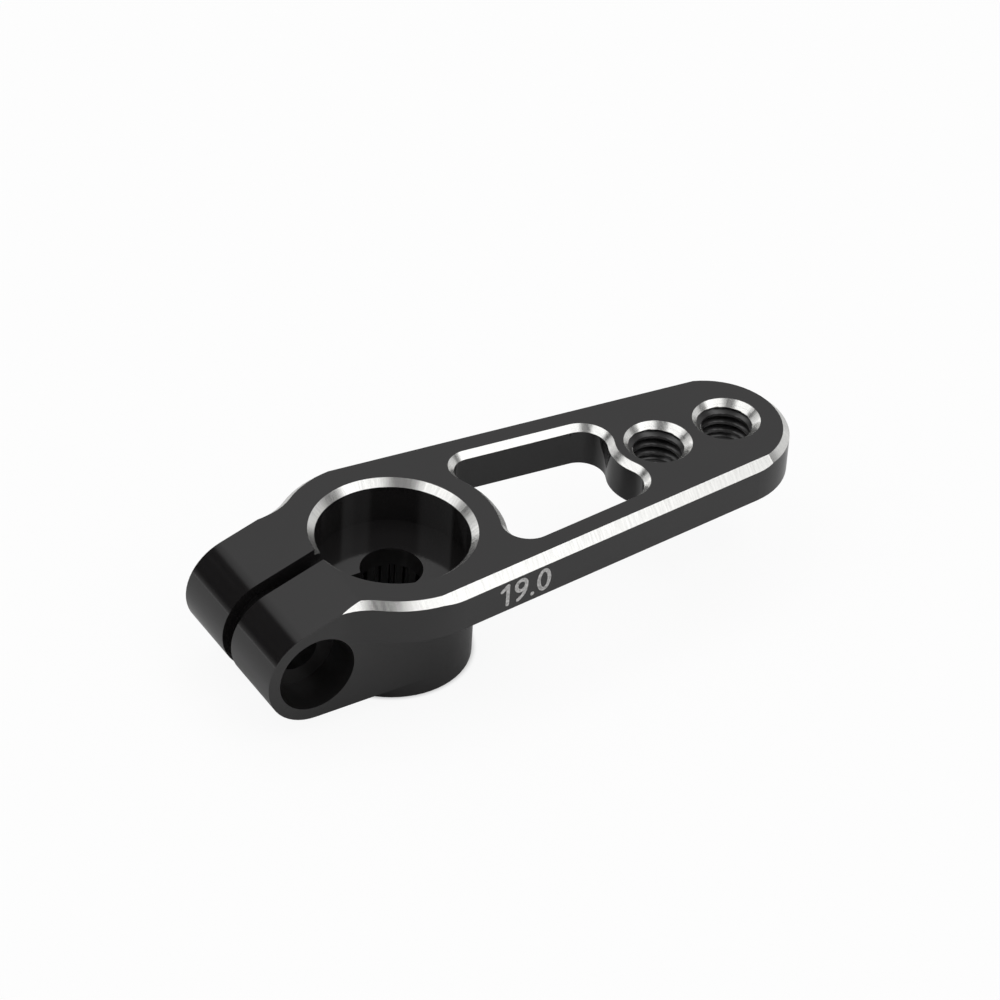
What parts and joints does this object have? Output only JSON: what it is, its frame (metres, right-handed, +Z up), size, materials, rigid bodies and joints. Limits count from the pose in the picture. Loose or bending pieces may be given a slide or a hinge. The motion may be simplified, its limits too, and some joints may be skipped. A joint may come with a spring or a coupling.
{
  "type": "servo horn",
  "caption": "One-piece clamping servo horn: a boss with an internal spline and a side clamp screw, and a slotted arm with threaded holes for linkage screws.",
  "frame": {"origin": "bore axis at the bottom face of the boss", "axes": "+X from the bore axis towards the tip of the arm, +Z up along the bore axis, out of the recess for the output screw; the clamp screw enters along +Y"},
  "size_m": [0.0309, 0.0114, 0.007],
  "materials": {
    "black_anodised_aluminium": "satin black anodised, with bright-cut chamfers"
  },
  "bodies": {
    "root": {"servo_horn": "black_anodised_aluminium"}
  },
  "joints": []
}
